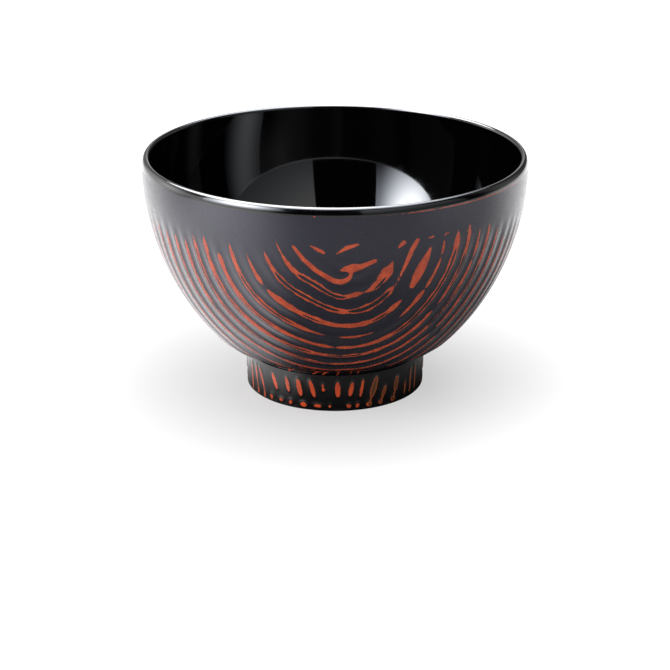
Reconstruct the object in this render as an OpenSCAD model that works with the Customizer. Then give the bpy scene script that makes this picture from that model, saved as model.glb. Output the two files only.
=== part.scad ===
// Soup bowl: a turned wooden body under black and red lacquer, with a wood-grain
// relief on the outside whose crests are polished through to the red coat.
// Millimetres. The bowl stands on z = 0 about the Z axis, and its front faces -Y.

/* [Bowl] */
// Outside diameter at the widest circle, just under the lip
rim_d = 110.5; // [100:0.5:130]
// Height from the table to the top of the lip
height = 69.6; // [60:0.2:85]
// Thickness of the finished wall at the lip
lip_t = 2.2; // [1.8:0.1:3]
// Height of the rounded lip above the widest circle
lip_h = 1.9; // [1.6:0.1:3]
// Thickness of the finished wall halfway up
mid_wall_t = 2.8; // [2.5:0.1:4]
// Height of the inside floor above the table
floor_h = 13; // [11.5:0.5:16]
// Radius of the curve between the inside floor and wall
floor_blend_r = 24; // [15:1:30]

/* [Foot] */
// Diameter of the foot ring where it meets the table
foot_d = 52; // [44:1:60]
// How much wider the foot is at its top, in diameter
foot_flare = 0.6; // [0:0.1:2]
// Height of the foot ring
foot_h = 9; // [7:0.5:12]
// Thickness of the foot ring
foot_ring_t = 3.2; // [2.5:0.1:5]
// Depth of the hollow under the foot
well_depth = 6; // [4:0.5:7]
// Radius of the curve round the top of the hollow
well_fillet = 2; // [1:0.25:3]

/* [Lacquer] */
// Thickness of the red under-coat
red_t = 0.2; // [0.1:0.05:0.4]
// Thickness of the black coat over it
black_t = 0.5; // [0.4:0.05:0.8]
// Thickness of the coat inside the bowl
inner_t = 0.25; // [0.15:0.05:0.4]
// Thickness of the coat in the hollow under the foot
well_t = 0.25; // [0.15:0.05:0.4]
// Thickness of the bearing coat on the foot ring
rest_t = 0.5; // [0.4:0.05:1]
// Rounding of the bearing edge
rest_edge_r = 0.35; // [0.2:0.05:0.4]

/* [Grain] */
// Height of the smooth band between the lip and the grain
band_h = 11.6; // [8:0.2:16]
// Length over which the smooth band sinks to the ground of the grain
band_fade = 3; // [1:0.5:6]
// Height of the grain crests above their ground on the wall
relief = 0.3; // [0.2:0.05:0.35]
// Height of the grain crests on the foot
foot_relief = 0.2; // [0.1:0.05:0.3]
// Width of an ordinary stroke of the grain on the wall
stroke_w = 1.3; // [0.8:0.1:1.8]
// Share of a crest's width that is polished flat
crest_flat = 0.7; // [0.4:0.05:0.9]
// Number of grain strokes round the foot
foot_strokes = 44; // [30:1:52]
// Width of a stroke on the foot
foot_stroke_w = 1.1; // [0.6:0.1:1.6]

/* [Hidden] */
$fn = 96;
rim_r = rim_d / 2;
foot_r = foot_d / 2;
foot_top_r = foot_r + foot_flare / 2;
foot_ground_r = foot_top_r - foot_relief;
well_r = foot_r - foot_ring_t;
wall_coat_t = red_t + black_t;

// The outside wall is one arc, upright at the widest circle and ending at the foot
widest_z = height - lip_h;
arc_r = arc_radius(rim_r - foot_top_r, widest_z - foot_h);
arc_x = rim_r - arc_r;

// The inside wall is one arc too, upright where the lip starts to round, then the blend into the floor
lip_in_r = rim_r - lip_t;
nose_z = height - lip_t / 2;
mid_z = (widest_z + foot_h) / 2;
in_arc_r = arc_radius(lip_in_r - wall_r(mid_z, 0) + mid_wall_t, nose_z - mid_z);
in_arc_x = lip_in_r - in_arc_r;
blend_z = floor_h + floor_blend_r;
blend_x = in_arc_x + sqrt(pow(in_arc_r - floor_blend_r, 2) - pow(nose_z - blend_z, 2));

// The grain's rings are centred on the front and back of the bowl, under the smooth band
band_z = height - band_h;
ground_clear = 0.04;
crest_step = 4;
crest_tip_w = 0.12;

// Each ring: its angle from the centre of the grain, then its strokes as start and
// end angle round the ring, 0 being straight down, and share of the ordinary width
grain_rings = [
    [5.5, [[-90, -66, 0.8], [14, 72, 2.1]]],
    [10.5, [[-90, 24, 1.1]]],
    [15.5, [[-88, 28, 1.2], [32, 69, 1.9]]],
    [20.5, [[-83, 56, 1.3], [59, 90, 0.8]]],
    [26.5, [[-80, -60, 0.7], [-53, 45, 1.3], [57, 89, 1.8]]],
    [31.5, [[-86, -7, 1.1], [4, 18, 0.9], [40, 57, 1.1], [62, 78, 0.8], [82, 88, 0.6]]],
    [36.5, [[-78, -2, 1.3], [2, 90, 1.4]]],
    [41, [[-89, 48, 1.2], [57, 90, 1.1]]],
    [45.5, [[-89, -4, 1.1], [-1, 76, 1.2], [80, 87, 0.8]]],
    [50, [[-84, -2, 1], [1, 38, 1], [45, 89, 1]]],
    [54, [[-87, -17, 1], [20, 40, 0.9], [43, 84, 1]]],
    [57.5, [[-87, -28, 0.9], [26, 87, 0.9]]]
];

// Past these the rings run down the sides of the bowl as far as the foot, ever straighter
side_rings = [61:3.45:88.6];
side_strokes = [[-87, -58, 0.9], [-54, -34, 0.8], [34, 54, 0.8], [58, 87, 0.9]];
wander_ring = 64;
straight_ring = 88;

// Heights of the strokes and dots on the foot, as shares of its height
foot_stroke_span = [0.47, 0.91];
foot_dot_span = [0.12, 0.28];
foot_lean = 3;
foot_stroke_steps = 4;

core_colour = "#b5885a";
black_colour = "#26262b";
red_colour = "#c9502f";

// Radius of an arc that starts upright and comes in by a over a drop of b
function arc_radius(a, b) = (a * a + b * b) / (2 * a);

// Radius of the outside wall at height z, at a depth under the finished surface
function wall_r(z, depth) = arc_x + sqrt(pow(arc_r - depth, 2) - pow(widest_z - z, 2));

// How far a ring wanders from its own angle, as turned wood does
function ring_wander(ring, around) =
    let (outer = (ring - 35) / 30)
    let (late = max(0, min(1, (ring - wander_ring) / (straight_ring - wander_ring))))
    (1 - late * late * (3 - 2 * late)) * ((1.1 - 1.9 * outer) * sin(2 * around)
        + 1.3 * outer * cos(2 * around) + 0.6 * cos(3 * around) + 0.5 * sin(5 * around));

// Point of the wall in the direction of a ring angle and an angle round the ring
function grain_point(ring, around, depth) =
    let (dir = [sin(ring) * sin(around), -cos(ring), -sin(ring) * cos(around)])
    let (from = [-arc_x, band_z - widest_z], along = from.x * norm([dir.x, dir.y]) + from.y * dir.z)
    let (reach = sqrt(along * along - from * from + pow(arc_r - depth, 2)) - along)
    [0, 0, band_z] + reach * dir;

// Point of the foot's side at an angle round the bowl and a height
function foot_point(angle, z, depth) =
    let (r = foot_r + (foot_top_r - foot_r) * z / foot_h - depth)
    [r * sin(angle), -r * cos(angle), z];

// Width of a crest along its length, full in the middle and narrow at the tips
function crest_w(share, width) = crest_tip_w + (width - crest_tip_w) * sqrt(sin(180 * share));

function degrees_of(length, r) = length / r * 180 / PI;

// Faces of a crest made of four-point sections: both ends, then the sides between them
function crest_faces(steps) = concat(
    [[0, 1, 2], [0, 2, 3]],
    [for (last = [4 * steps]) each [[last + 2, last + 1, last], [last + 3, last + 2, last]]],
    [for (i = [0:steps - 1], j = [0:3])
        let (a = 4 * i + j, b = 4 * i + (j + 1) % 4)
        each [[a, a + 4, b + 4], [a, b + 4, b]]]);

module crest(sections)
    polyhedron([for (s = sections) each s], crest_faces(len(sections) - 1), convexity = 4);

// One stroke of the grain along a ring of the wall
module wall_stroke(ring, start, end, width_share) {
    width = width_share * stroke_w;
    length = arc_length(ring, end - start);
    steps = max(3, ceil(length / crest_step));
    crest([for (i = [0:steps])
        let (around = start + (end - start) * i / steps, at = ring + ring_wander(ring, around))
        let (half = degrees_of(crest_w(i / steps, width) / 2, rim_r))
        let (base = relief - ground_clear)
        [grain_point(at - half, around, base), grain_point(at - half * crest_flat, around, 0),
            grain_point(at + half * crest_flat, around, 0), grain_point(at + half, around, base)]]);
}

function arc_length(ring, sweep) = rim_r * sin(ring) * sweep * PI / 180;

// One stroke of the grain up the foot, its top leaning away from the front or back
module foot_stroke(angle, span, width) {
    lean = foot_lean * sin(2 * angle);
    middle = (foot_stroke_span[0] + foot_stroke_span[1]) / 2;
    crest([for (i = [0:foot_stroke_steps])
        let (share = i / foot_stroke_steps, up = span[0] + (span[1] - span[0]) * share)
        let (at = angle + lean * (up - middle) / middle, z = up * foot_h)
        let (half = degrees_of(crest_w(share, width) / 2, foot_r))
        let (base = foot_relief - ground_clear / 2)
        [foot_point(at + half, z, base), foot_point(at + half * crest_flat, z, 0),
            foot_point(at - half * crest_flat, z, 0), foot_point(at - half, z, base)]]);
}

// Half sections, radius along x and height along y
module wall_disc(depth) translate([arc_x, widest_z]) circle(r = arc_r - depth);

module wall_layer(depth, under) intersection() {
    difference() {
        wall_disc(depth);
        wall_disc(under);
    }
    translate([foot_ground_r, 0]) square([rim_r, widest_z]);
}

module grain_recess() {
    fade_z = band_z - band_fade;
    intersection() {
        difference() {
            wall_disc(-relief);
            wall_disc(relief);
        }
        polygon([[wall_r(band_z, 0), band_z], [wall_r(fade_z, relief), fade_z], [0, fade_z],
            [0, 0], [2 * rim_r, 0], [2 * rim_r, band_z]]);
    }
}

module foot_layer(depth, under) {
    top = foot_h + 2 * wall_coat_t;
    difference() {
        polygon([[foot_r - under, rest_t], [foot_r - depth, rest_t], [foot_top_r - depth, foot_h],
            [foot_top_r - depth, top], [foot_top_r - under, top], [foot_top_r - under, foot_h]]);
        wall_disc(wall_coat_t);
    }
}

// The lip stands on the widest circle and is rounded over its whole thickness
module lip(in_r, out_r, top) {
    nose_r = (out_r - in_r) / 2;
    spring_z = top - nose_r;
    translate([in_r, widest_z]) square([2 * nose_r, spring_z - widest_z]);
    intersection() {
        translate([in_r + nose_r, spring_z]) circle(r = nose_r);
        translate([in_r, spring_z]) square(2 * nose_r);
    }
}

module finished_lip() lip(lip_in_r, rim_r, height);

// The wood under the lip, not yet hollowed
module core_lip() {
    core_r = rim_r - wall_coat_t;
    lip(lip_in_r + inner_t, core_r, height - inner_t);
    translate([lip_in_r, widest_z]) square([core_r - lip_in_r, nose_z - widest_z]);
}

// The hollow of the bowl up to the rounding of the lip, deepened by the coat that lines it
module cavity(deeper) {
    toward = [blend_x - in_arc_x, blend_z - nose_z];
    intersection() {
        translate([in_arc_x, nose_z]) circle(r = in_arc_r + deeper);
        polygon([[in_arc_x, nose_z], [in_arc_x, nose_z] + 2 * toward, [2 * rim_r, 0], [2 * rim_r, nose_z]]);
        square([rim_r, nose_z]);
    }
    intersection() {
        translate([blend_x, blend_z]) circle(r = floor_blend_r + deeper);
        square([rim_r, nose_z]);
    }
    translate([0, floor_h - deeper]) square([blend_x, nose_z - floor_h + deeper]);
}

// The hollow under the foot, deepened by its coat
module well(deeper) {
    inner_r = well_r - well_fillet;
    square([well_r + deeper, well_depth - well_fillet]);
    square([inner_r, well_depth + deeper]);
    translate([inner_r, well_depth - well_fillet]) circle(r = well_fillet + deeper);
}

module wood_core() color(core_colour) rotate_extrude() difference() {
    union() {
        intersection() {
            wall_disc(wall_coat_t);
            translate([0, foot_h]) square([rim_r, widest_z - foot_h]);
        }
        polygon([[0, rest_t], [foot_r - wall_coat_t, rest_t], [foot_top_r - wall_coat_t, foot_h],
            [foot_top_r - wall_coat_t, foot_h + 2 * wall_coat_t], [0, foot_h + 2 * wall_coat_t]]);
        core_lip();
    }
    cavity(inner_t);
    well(well_t);
}

module inner_coat() color(black_colour) rotate_extrude() difference() {
    cavity(inner_t);
    cavity(0);
}

module rim_coat() color(black_colour) rotate_extrude() difference() {
    finished_lip();
    core_lip();
    cavity(inner_t);
}

module red_wall_coat() color(red_colour) rotate_extrude() wall_layer(black_t, wall_coat_t);

module black_wall_coat() color(black_colour) rotate_extrude() difference() {
    wall_layer(0, black_t);
    grain_recess();
}

// The same grain shows on the front and on the back
module wall_grain() color(red_colour) for (turn = [0, 180]) rotate(turn) {
    for (ring = grain_rings, s = ring[1]) wall_stroke(ring[0], s[0], s[1], s[2]);
    for (ring = side_rings, s = side_strokes) wall_stroke(ring, s[0], s[1], s[2]);
}

module red_foot_coat() color(red_colour) rotate_extrude() foot_layer(black_t, wall_coat_t);

module black_foot_coat() color(black_colour) rotate_extrude() foot_layer(foot_relief, black_t);

module foot_grain() color(red_colour) for (i = [0:foot_strokes - 1]) {
    angle = 360 * i / foot_strokes;
    foot_stroke(angle, foot_stroke_span, foot_stroke_w);
    foot_stroke(angle, foot_dot_span, foot_stroke_w);
}

module foot_rest_coat() color(black_colour) rotate_extrude() intersection() {
    union() {
        translate([well_r + rest_edge_r, 0]) square([foot_ring_t - 2 * rest_edge_r, rest_t]);
        translate([well_r, rest_edge_r]) square([foot_ring_t, rest_t]);
        for (x = [well_r + rest_edge_r, foot_r - rest_edge_r])
            translate([x, rest_edge_r]) circle(r = rest_edge_r);
    }
    square([foot_r, rest_t]);
}

module foot_well_coat() color(black_colour) rotate_extrude() difference() {
    well(well_t);
    well(0);
    square([foot_r, rest_t]);
}

wood_core();
inner_coat();
rim_coat();
red_wall_coat();
black_wall_coat();
wall_grain();
red_foot_coat();
black_foot_coat();
foot_grain();
foot_rest_coat();
foot_well_coat();
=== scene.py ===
import math
import bpy
import numpy as np
from mathutils import Euler, Matrix, Vector


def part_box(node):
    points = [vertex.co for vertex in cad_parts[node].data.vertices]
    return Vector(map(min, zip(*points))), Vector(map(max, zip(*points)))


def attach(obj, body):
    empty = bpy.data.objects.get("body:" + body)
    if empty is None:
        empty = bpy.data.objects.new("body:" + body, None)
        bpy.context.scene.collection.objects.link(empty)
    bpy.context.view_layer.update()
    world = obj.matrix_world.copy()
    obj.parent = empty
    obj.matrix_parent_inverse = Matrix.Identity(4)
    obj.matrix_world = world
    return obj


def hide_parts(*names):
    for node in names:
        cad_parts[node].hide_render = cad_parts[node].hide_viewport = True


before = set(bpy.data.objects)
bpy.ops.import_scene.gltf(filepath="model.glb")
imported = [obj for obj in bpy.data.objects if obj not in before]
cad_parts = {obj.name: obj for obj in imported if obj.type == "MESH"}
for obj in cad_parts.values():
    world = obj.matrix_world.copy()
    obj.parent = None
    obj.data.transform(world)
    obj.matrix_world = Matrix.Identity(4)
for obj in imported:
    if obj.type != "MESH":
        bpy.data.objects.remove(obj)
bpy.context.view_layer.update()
mm = 0.001
print("frame loaded:", len(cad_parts), "nodes")


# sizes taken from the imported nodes, the rest as in the part's own source
rimLow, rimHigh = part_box("rim_coat")
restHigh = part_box("foot_rest_coat")[1]
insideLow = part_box("inner_coat")[0]
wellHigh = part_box("foot_well_coat")[1]
thinCoat = 0.25 * mm  # inside the bowl and in the hollow under the foot

bowl = {
    "rim": rimHigh[0],  # radius at the widest circle
    "top": rimHigh[2],
    "arris": rimLow[2] - 0.35 * mm,  # height of the widest circle
    "lipThick": 2.2 * mm,
    "lipRound": 0.9 * mm,  # inner rounding of the lip
    "coreRound": 0.4 * mm,  # and of the core under it
    "midThick": 2.8 * mm,  # wall halfway up
    "coat": 0.7 * mm,  # thickness of the outside coats
    "insideCoat": thinCoat,
    "floor": insideLow[2] + thinCoat,
    "blend": 24.0 * mm,  # curve between floor and wall
    "foot": restHigh[0],
    "footTop": restHigh[0] + 0.3 * mm,
    "footHeight": 9.0 * mm,  # the wall's arc would meet the foot here
    "hip": 16.5 * mm,  # the wall turns under above the foot
    "hipTurn": 80,  # degrees below level where the hip ends
    "cove": 1.0 * mm,  # hollow between hip and foot
    "shoulder": 0.35 * mm,  # the cove cuts in this far under the foot's outside
    "well": wellHigh[0] - thinCoat,
    "wellTop": wellHigh[2] - thinCoat,
    "wellCurve": 2.0 * mm,
}
print("bowl", round(2 * bowl["rim"] / mm, 1), "mm wide,", round(bowl["top"] / mm, 1), "mm high")


def arcRadius(comesIn, drop):  # arc that starts upright and comes in over a drop
    return (comesIn * comesIn + drop * drop) / (2 * comesIn)


def arcPoints(centre, radius, start, end, count):  # angles in degrees from +X
    turns = [math.radians(start + (end - start) * i / count) for i in range(count + 1)]
    return [(centre[0] + radius * math.cos(t), centre[1] + radius * math.sin(t)) for t in turns]


def smooth(value, low, high):
    share = np.clip((value - low) / (high - low), 0, 1)
    return share * share * (3 - 2 * share)


def clearSelection():
    if bpy.context.object and bpy.context.object.mode != "OBJECT":
        bpy.ops.object.mode_set(mode="OBJECT")
    bpy.ops.object.select_all(action="DESELECT")


turning = {"seam": 0.002 * mm, "doubles": 0.008 * mm}  # points closer than this become one


def lathe(name, profile, steps):  # a vertex drawn out along the profile, then turned round Z
    clearSelection()
    bpy.ops.mesh.primitive_plane_add(size=mm)
    piece = bpy.context.object
    piece.name = name
    piece.data.name = name
    bpy.ops.object.mode_set(mode="EDIT")
    bpy.ops.mesh.select_mode(type="VERT")
    bpy.ops.mesh.select_all(action="SELECT")
    bpy.ops.mesh.merge(type="CENTER")
    bpy.ops.transform.translate(value=(profile[0][0], 0, profile[0][1]))
    for start, end in zip(profile, profile[1:]):
        move = (end[0] - start[0], 0, end[1] - start[1])
        bpy.ops.mesh.extrude_region_move(TRANSFORM_OT_translate={"value": move})
    bpy.ops.object.mode_set(mode="OBJECT")
    bpy.ops.object.modifier_add(type="SCREW")
    turned = piece.modifiers[-1]
    turned.axis = "Z"
    turned.steps = steps
    turned.render_steps = steps
    turned.use_merge_vertices = True
    turned.merge_threshold = turning["seam"]
    bpy.ops.object.modifier_apply(modifier=turned.name)
    bpy.ops.object.mode_set(mode="EDIT")
    bpy.ops.mesh.select_all(action="SELECT")
    bpy.ops.mesh.remove_doubles(threshold=turning["doubles"])
    bpy.ops.mesh.normals_make_consistent(inside=False)
    bpy.ops.object.mode_set(mode="OBJECT")
    print(name, len(piece.data.vertices), "points,", len(piece.data.polygons), "faces")
    return piece


def getPoints(piece):
    flat = np.empty(len(piece.data.vertices) * 3)
    piece.data.vertices.foreach_get("co", flat)
    return flat.reshape(-1, 3)


def setPoints(piece, places):
    piece.data.vertices.foreach_set("co", places.ravel())
    piece.data.update()


def addField(piece, name, values):  # a number or a vector at each point
    kind = "FLOAT" if values.ndim == 1 else "FLOAT_VECTOR"
    field = piece.data.attributes.new(name, kind, "POINT")
    field.data.foreach_set("value" if values.ndim == 1 else "vector", values.ravel())


def shadeSmooth(piece, degrees):
    clearSelection()
    piece.select_set(True)
    bpy.context.view_layer.objects.active = piece
    bpy.ops.object.shade_smooth_by_angle(angle=math.radians(degrees))


# the outside wall is one arc, upright at the widest circle
wallArc = arcRadius(bowl["rim"] - bowl["footTop"], bowl["arris"] - bowl["footHeight"])
wallCentre = (bowl["rim"] - wallArc, bowl["arris"])


def wallRadius(z):
    return wallCentre[0] + math.sqrt(wallArc ** 2 - (bowl["arris"] - z) ** 2)


# the hip is tangent to the wall and the cove to the hip; the foot's side starts at a plain edge
hipTurn = math.radians(bowl["hipTurn"])
neck = bowl["footTop"] - bowl["shoulder"]
hipOut = neck + bowl["cove"] * (1 - math.cos(hipTurn))
hipReach = hipOut - bowl["hip"] * math.cos(hipTurn) - wallCentre[0]
hipStart = math.acos(hipReach / (wallArc - bowl["hip"]))
hipCentre = (wallCentre[0] + hipReach, wallCentre[1] - (wallArc - bowl["hip"]) * math.sin(hipStart))
hipTop = wallCentre[1] - wallArc * math.sin(hipStart)
coveCentre = (neck + bowl["cove"], hipCentre[1] - (bowl["hip"] + bowl["cove"]) * math.sin(hipTurn))
coveOut = math.acos(1 - bowl["shoulder"] / bowl["cove"])
coveZ = coveCentre[1] - bowl["cove"] * math.sin(coveOut)  # the foot's side starts here
hipLow = hipCentre[1] - bowl["hip"] * math.sin(hipTurn)
lipInside = bowl["rim"] - bowl["lipThick"]
noseZ = bowl["top"] - bowl["lipThick"] / 2  # the lip rounds over above this height
midZ = (bowl["arris"] + bowl["footHeight"]) / 2
midInside = wallRadius(midZ) - bowl["midThick"]
insideArc = arcRadius(lipInside - midInside, noseZ - midZ)
insideCentre = (lipInside - insideArc, noseZ)
blendZ = bowl["floor"] + bowl["blend"]
blendReach = math.sqrt((insideArc - bowl["blend"]) ** 2 - (noseZ - blendZ) ** 2)
blendCentre = (insideCentre[0] + blendReach, blendZ)
blendTurn = math.degrees(math.atan2(blendZ - noseZ, blendReach))


# outside wall
# rings: angle from the eye of the grain, red strokes [from, to, width at both ends], then the dark
# cores in them [from, to, width, shift outwards], all angles round the ring from straight down
# loose: strokes that follow no ring, as points of turn round the bowl, height and width
# turns in degrees, widths and heights in millimetres
wall = {
    "steps": 560,
    "bandRows": 5,
    "grainRows": 112,
    "hipRows": 24,
    "coveRows": 10,
    "backRows": 10,
    "hiddenRows": 5,  # behind the hip and the cove
    "grainTop": 60.5 * mm,  # the relief starts here
    "grainFull": 50.0 * mm,  # and has its full depth here
    "eye": 58.35 * mm,  # height of the eye of the grain, on the front and the back
    "eyeReach": 54.5 * mm,  # from the middle of the bowl to the wall
    "relief": 0.36 * mm,
    "eyeRelief": 0.3,  # share of the relief that is left near the eye
    "eyeBetween": (18, 46),  # ring angles over which it grows
    "sideRelief": 0.35,  # and the share at the far sides
    "sideBetween": (62, 82),
    "crestShift": 0.12,  # the crest lies this far outside the red, in ring spacings
    "crestRound": (-0.1, 0.95),  # heights of the wave that become the hollow and the crest
    "outerThin": 0.3,  # share that the outer strokes are thinner by
    "thinBetween": (34, 44),
    "streakBetween": (28, 50),  # further out the red breaks up into streaks
    "tip": 3.0,  # length over which a stroke runs out
    "tipShape": 0.7,  # below 1 the tip is blunter
    "widthWaves": [(0.12, 0.23, 2.1), (0.1, 0.61, 4.3)],  # share, rate round the ring, step to the next
    "sway": (1.1, 1.9, 1.3, 0.6, 0.5),  # how far the rings stray, in degrees
    "swayMiddle": 35,
    "swayReach": 30,
    "swayEnd": (64, 88),  # where that dies away
    "dent": 1.7,  # the inner rings lift here, in degrees
    "dentTurn": 23,
    "dentReach": 13,
    "dentEnd": (14, 20),
    "skin": 0.05 * mm,  # points this close to the arcs are on the outside
    "coveBelow": 0.1 * mm,  # the rings end this far under the hip
    "coveAbove": 0.3 * mm,  # and the cove's painted shade this far over its lower end
    "crease": 50,
    "rings": [
        (0.5, [], []),
        (5.5, [], []),
        (10.5, [], []),
        (15.5, [[-94, -80, 0.4, 0.5], [-84, -48, 0.6, 1.9], [-54, 14, 2.0, 1.5], [8, 30, 1.5, 0.8],
            [31, 60, 0.6, 4.2], [50, 74, 4.4, 1.8]], [[-53, 12, 0.95, 0.05], [40, 57, 0.8, 0.6]]),
        (20.5, [[-84, -60, 0.9, 1.2], [-68, 26, 1.5, 1.8], [14, 53, 2.3, 2.0]],
            [[-66, 4, 0.9, 0.0], [10, 48, 1.35, 0.0]]),
        (26.5, [[-82, -58, 0.4, 1.4], [-54, 47, 1.7, 1.5]],
            [[-24, -8, 0.55, 0.1], [23, 35, 0.8, 0.1]]),
        (31.5, [[-88, -66, 0.9, 1.2], [-72, -20, 1.4, 1.5], [-28, -5, 1.5, 0.4], [2, 21, 0.7, 0.7],
            [38, 59, 0.7, 1.9], [60, 80, 1.0, 0.8], [81, 90, 0.7, 0.8]], [[-70, -24, 0.55, 0.0]]),
        (36.5, [[-82, 0, 1.5, 1.1], [0, 93, 1.1, 2.0]], [[-58, -32, 0.35, 0.1], [30, 84, 0.8, 0.0]]),
        (41.0, [[-89, 50, 1.7, 1.3], [54, 93, 1.0, 1.7]],
            [[-70, -46, 0.4, 0.1], [-26, -10, 0.6, 0.0], [-4, 12, 0.6, 0.0], [64, 82, 0.6, 0.0]]),
        (45.5, [[-88, -2, 1.6, 1.2], [-4, 77, 1.0, 1.4], [78, 91, 1.2, 1.0]],
            [[-83, -58, 0.5, 0.1], [-56, -32, 0.45, 0.0], [-21, -7, 0.4, 0.0], [41, 66, 0.6, 0.0]]),
        (50.0, [[-85, 0, 1.4, 1.0], [-2, 40, 0.9, 1.1], [43, 92, 0.9, 1.4]],
            [[-60, -40, 0.35, 0.0], [60, 76, 0.5, 0.0]]),
        (55.0, [[-86, -16, 1.5, 0.8], [-12, 14, 0.7, 0.7], [19, 41, 0.8, 0.9], [42, 88, 0.9, 1.2]],
            [[-80, -56, 0.4, 0.1]]),
        (60.5, [[-86, -26, 1.4, 0.7], [-20, 20, 0.8, 0.8], [25, 84, 0.7, 1.1]], [[-74, -58, 0.35, 0.0]]),
    ],
    "loose": [
        [(-6.9, 59.4, 0.2), (-5.6, 58.7, 0.7), (-4.2, 58.0, 1.0), (-3.1, 57.4, 0.8)],
        [(0.4, 57.1, 0.4), (3.2, 58.8, 1.2), (6.4, 59.7, 0.5)],
        [(1.5, 52.0, 0.4), (2.9, 52.6, 1.5), (4.4, 52.6, 2.6), (5.6, 52.9, 2.4), (7.0, 53.0, 1.7),
            (8.6, 53.6, 1.4), (11.2, 54.7, 1.1)],
        [(-11.5, 58.8, 0.8), (-8.8, 55.3, 1.2), (-5.5, 52.2, 1.3), (-2.1, 50.0, 1.4), (-0.3, 49.0, 1.5),
            (1.7, 48.6, 1.5), (3.5, 49.3, 1.3), (4.4, 50.4, 0.9), (4.6, 51.5, 0.9)],
        [(17.9, 58.1, 0.6), (19.3, 59.3, 1.3)],
        [(26.6, 59.5, 0.3), (28.4, 59.9, 0.6)],
        [(32.2, 59.7, 0.5), (33.2, 60.2, 0.6)],
        [(40.6, 59.3, 0.5), (41.2, 60.5, 0.8)],
        [(-38.2, 11.3, 0.26), (-35.4, 12.4, 0.39)],
        [(-30.4, 11.3, 0.26), (-27.4, 12.4, 0.45)],
        [(-23.0, 11.3, 0.26), (-20.2, 12.4, 0.39)],
        [(-13.8, 11.3, 0.26), (-11.6, 12.4, 0.45)],
        [(-7.6, 11.4, 0.2), (-6.0, 12.3, 0.39)],
        [(1.3, 11.3, 0.33), (1.9, 12.3, 0.52)],
        [(9.4, 11.4, 0.26), (10.2, 12.3, 0.39)],
        [(14.4, 11.4, 0.26), (15.0, 12.3, 0.39)],
        [(17.8, 46.4, 0.3), (19.5, 50.5, 0.7), (20.7, 53.6, 1.2), (22.0, 57.1, 1.4), (23.4, 59.5, 1.2)],
        [(23.4, 45.8, 1.6), (24.4, 48.4, 2.6), (25.4, 50.8, 2.8), (26.6, 53.6, 2.1), (28.1, 57.4, 0.3)],
    ],
    "sideFirst": 66.0,
    "sidePitch": 5.0,
    "sideCount": 5,
    "sideStrokes": [[-87, -57, 0.8, 0.6], [-55, -33, 0.6, 0.5], [33, 55, 0.5, 0.6], [57, 83, 0.6, 0.8]],
    "sideThin": 0.14,  # each side ring is thinner than the last by this share
    "otherSide": 91.4,  # the first ring of the other side
}
noStroke = -0.4  # half width where a ring has no stroke, in ring spacings
farOff = -1.5  # distance where no stroke is near, in millimetres
ringTable = list(wall["rings"])
for i in range(wall["sideCount"]):
    ringTable.append((wall["sideFirst"] + i * wall["sidePitch"], wall["sideStrokes"], []))
ringTable.append((wall["otherSide"], [], []))
ringAngles = np.array([ring[0] for ring in ringTable])


def ringWander(ring, around):  # how far the rings stray from true circles, in degrees
    outer = (ring - wall["swayMiddle"]) / wall["swayReach"]
    turn = np.radians(around)
    inner, change, lean, third, fifth = wall["sway"]
    stray = (inner - change * outer) * np.sin(2 * turn) + lean * outer * np.cos(2 * turn)
    stray = stray + third * np.cos(3 * turn) + fifth * np.sin(5 * turn)
    dent = wall["dent"] * np.exp(-((around - wall["dentTurn"]) / wall["dentReach"]) ** 2)
    dent = dent * (1 - smooth(ring, *wall["dentEnd"]))
    return (stray - dent) * (1 - smooth(ring, *wall["swayEnd"]))


def alongShape(ringIndex, around, start, stop):  # 1 along a stroke, running out to 0 at its tips
    perDegree = math.sin(math.radians(ringAngles[ringIndex])) * wall["eyeReach"] / mm * math.pi / 180
    inward = np.minimum(around - start, stop - around) * perDegree
    tip = min(wall["tip"], (stop - start) * perDegree / 2)
    share = np.clip(inward / tip, -1, 1)
    rounded = np.power(np.clip(1 - (1 - share) ** 2, 0, 1), wall["tipShape"])
    return np.where(share > 0, rounded, share)


def strokeHalf(ringIndex, around, pitch):  # half width of the ring's stroke, in ring spacings
    half = np.full(around.shape, noStroke)
    wave = 1
    for depth, rate, step in wall["widthWaves"]:
        wave = wave + depth * np.sin(around * rate + ringIndex * step)
    wave = wave * (1 - wall["outerThin"] * smooth(ringAngles[ringIndex], *wall["thinBetween"]))
    wave = wave * (1 - wall["sideThin"] * max(ringIndex - len(wall["rings"]), 0))
    for start, stop, startWidth, stopWidth in ringTable[ringIndex][1]:
        share = np.clip((around - start) / (stop - start), 0, 1)
        width = (startWidth + (stopWidth - startWidth) * share) * wave
        half = np.maximum(half, alongShape(ringIndex, around, start, stop) * width / 2 / pitch)
    return half


def coreHalf(ringIndex, around, pitch):  # the same for its dark core, and how far off the middle that lies
    half = np.full(around.shape, noStroke)
    shift = np.zeros(around.shape)
    for start, stop, width, aside in ringTable[ringIndex][2]:
        here = alongShape(ringIndex, around, start, stop) * width / 2 / pitch
        shift = np.where(here > half, aside / pitch, shift)
        half = np.maximum(half, here)
    return half, shift


def looseField(turn, height, radius):  # signed distance inside the nearest loose stroke, in millimetres
    field = np.full(turn.shape, farOff)
    for points in wall["loose"]:
        for (turnA, heightA, widthA), (turnB, heightB, widthB) in zip(points, points[1:]):
            along = np.array([math.radians(turnB - turnA) * wall["eyeReach"] / mm, heightB - heightA])
            across = np.radians(turn - turnA) * radius / mm
            upward = height / mm - heightA
            share = np.clip((across * along[0] + upward * along[1]) / (along @ along), 0, 1)
            away = np.hypot(across - share * along[0], upward - share * along[1])
            field = np.maximum(field, (widthA + (widthB - widthA) * share) / 2 - away)
    return field


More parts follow.
